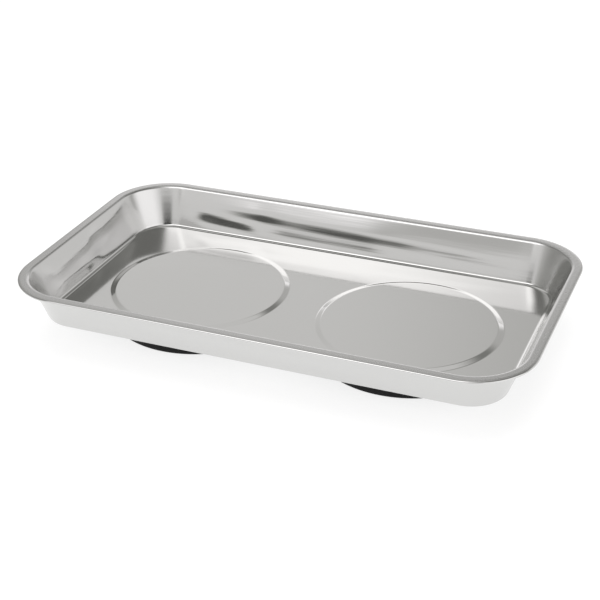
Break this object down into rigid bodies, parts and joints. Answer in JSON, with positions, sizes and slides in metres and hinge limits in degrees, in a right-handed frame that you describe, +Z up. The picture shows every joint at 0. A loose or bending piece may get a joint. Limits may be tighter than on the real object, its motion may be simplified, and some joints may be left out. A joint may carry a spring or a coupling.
{
  "type": "magnetic parts tray",
  "caption": "Rectangular pressed steel tray with leaning walls and a hemmed rim, on round rubber-booted pot magnets that grip a steel surface and hold small steel parts.",
  "frame": {"origin": "on the surface that the tray stands on, below the middle of the tray", "axes": "+X along the tray's length, +Y across it towards the far side in the picture, +Z up out of the tray"},
  "size_m": [0.24, 0.14, 0.0324],
  "materials": {
    "stainless_steel": "bright rolled stainless, almost a mirror, with faint rolling lines and a slightly wavy pressed wall",
    "black_rubber": "satin black moulded rubber",
    "zinc_plated_steel": "bright zinc plate with a faint blue tint",
    "ferrite": "matt dark grey sintered ferrite, ground on its flat faces"
  },
  "bodies": {
    "root": {"tray_pan": "stainless_steel", "left_rubber_boot": "black_rubber", "right_rubber_boot": "black_rubber", "left_magnet_cup": "zinc_plated_steel", "right_magnet_cup": "zinc_plated_steel", "left_ring_magnet": "ferrite", "right_ring_magnet": "ferrite", "left_weld_stud": "zinc_plated_steel", "right_weld_stud": "zinc_plated_steel", "left_flat_washer": "zinc_plated_steel", "right_flat_washer": "zinc_plated_steel", "left_spring_washer": "zinc_plated_steel", "right_spring_washer": "zinc_plated_steel", "left_hex_nut": "zinc_plated_steel", "right_hex_nut": "zinc_plated_steel"}
  },
  "joints": []
}
